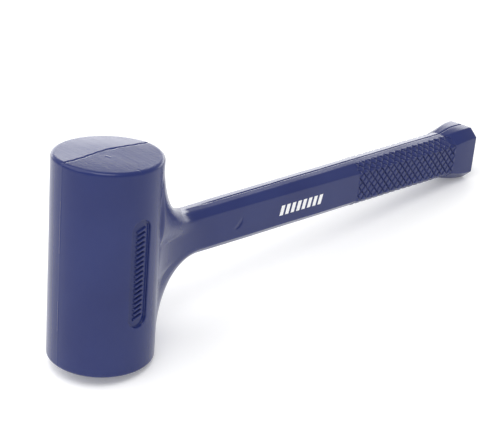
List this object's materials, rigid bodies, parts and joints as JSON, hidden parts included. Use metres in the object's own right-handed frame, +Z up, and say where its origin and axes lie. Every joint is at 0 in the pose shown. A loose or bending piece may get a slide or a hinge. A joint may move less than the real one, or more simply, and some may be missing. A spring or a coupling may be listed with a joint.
{
  "type": "dead blow mallet",
  "caption": "Dead blow mallet: moulded urethane head and handle over a steel canister of loose shot that slides to stop rebound, with a knurled flared grip.",
  "frame": {"origin": "centre of the footprint, on the bench that the mallet lies on", "axes": "+Z up from the bench; +X from the head towards the pommel; +Y across the handle. The mallet lies on the lower rim of the head and the lower edge of the pommel, so the head leans a few degrees towards +X"},
  "size_m": [0.3638, 0.06, 0.1244],
  "materials": {
    "urethane": "semi-gloss moulded",
    "print": "printed",
    "canister": "drawn",
    "rod": "mill scale",
    "pin": "blued",
    "weld": "as welded",
    "shot": "polished"
  },
  "bodies": {
    "mallet": {"cover": "urethane", "printed_mark": "print", "canister_tube": "canister", "upper_cap": "canister", "lower_cap": "canister", "upper_cap_weld": "weld", "lower_cap_weld": "weld", "rod_socket": "rod", "socket_weld": "weld", "handle_rod": "rod", "rod_pin": "pin", "anchor_plate": "rod", "anchor_weld": "weld"},
    "shot_charge": {"steel_shot": "shot"}
  },
  "joints": [
    {"name": "shot_slide", "type": "slide", "parent": "mallet", "child": "shot_charge", "axis": [0.133, 0, 0.9911], "range_m": [0, 0.0242]}
  ]
}
